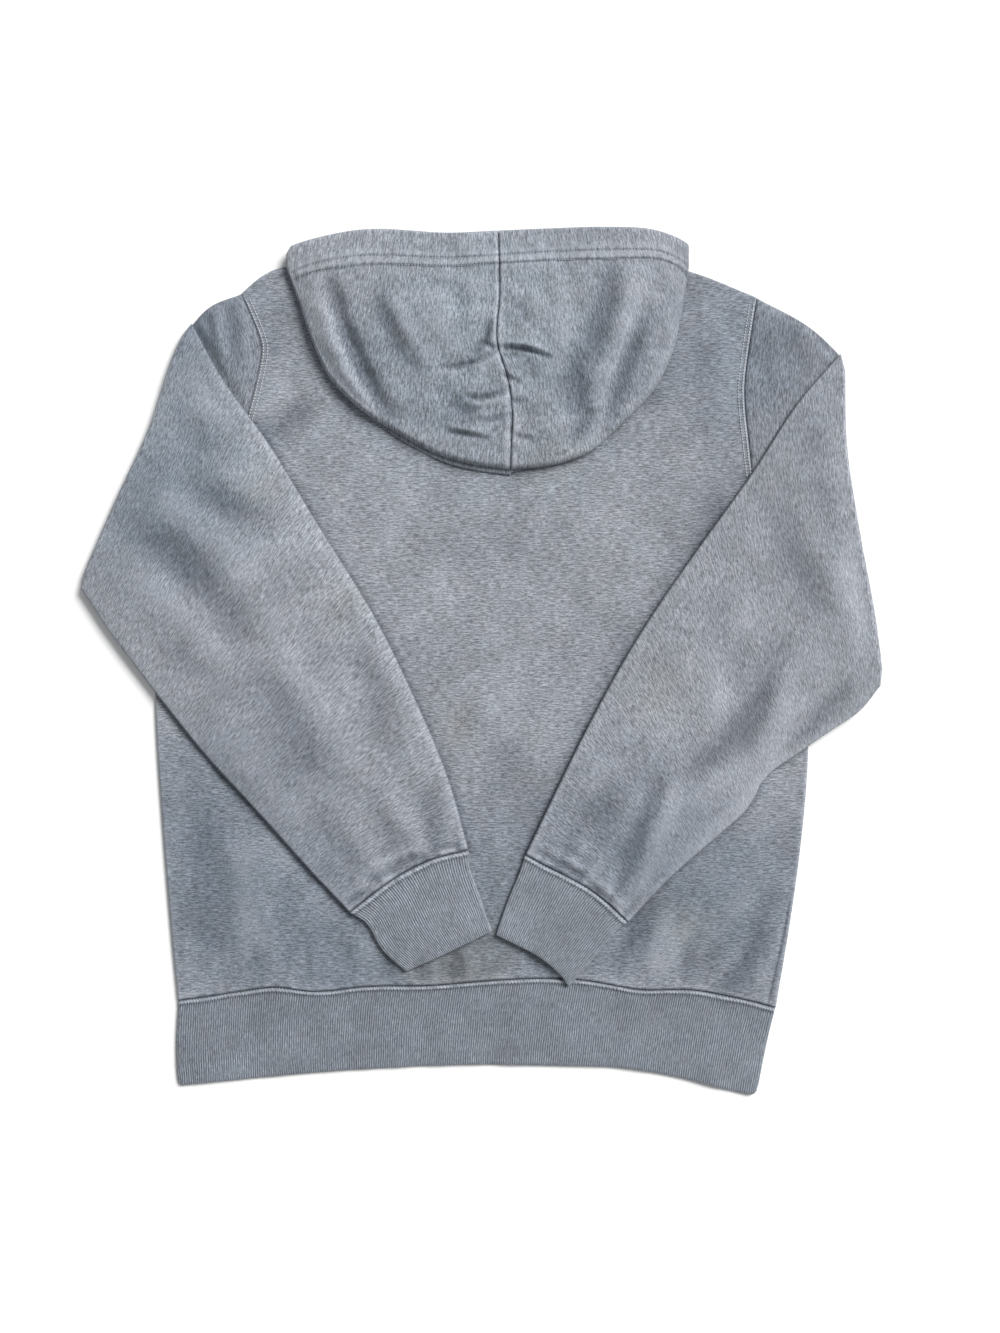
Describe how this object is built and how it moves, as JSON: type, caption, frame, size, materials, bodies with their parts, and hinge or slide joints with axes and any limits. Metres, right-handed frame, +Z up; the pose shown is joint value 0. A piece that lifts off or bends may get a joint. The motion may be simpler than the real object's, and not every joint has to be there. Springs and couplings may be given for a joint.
{
  "type": "pullover hoodie",
  "caption": "Plain fleece pullover hoodie laid face down, with its hood over the back and both sleeves folded in, ribbed cuffs and hem band.",
  "frame": {"origin": "centre of the garment's bounding box, on the surface it lies on", "axes": "+Z up from the surface, +Y from the hem towards the neck, +X to the right seen from above"},
  "size_m": [0.6952, 0.7484, 0.0206],
  "materials": {
    "fleece": "brushed heather fleece, matt, slightly faded",
    "rib": "fine one by one rib knit, matt"
  },
  "bodies": {
    "root": {"front": "fleece", "back": "fleece", "sleeve_left": "fleece", "sleeve_right": "fleece", "cuff_left": "rib", "cuff_right": "rib", "hem_band": "rib", "hood_left": "fleece", "hood_right": "fleece", "hood_under": "fleece"}
  },
  "joints": []
}
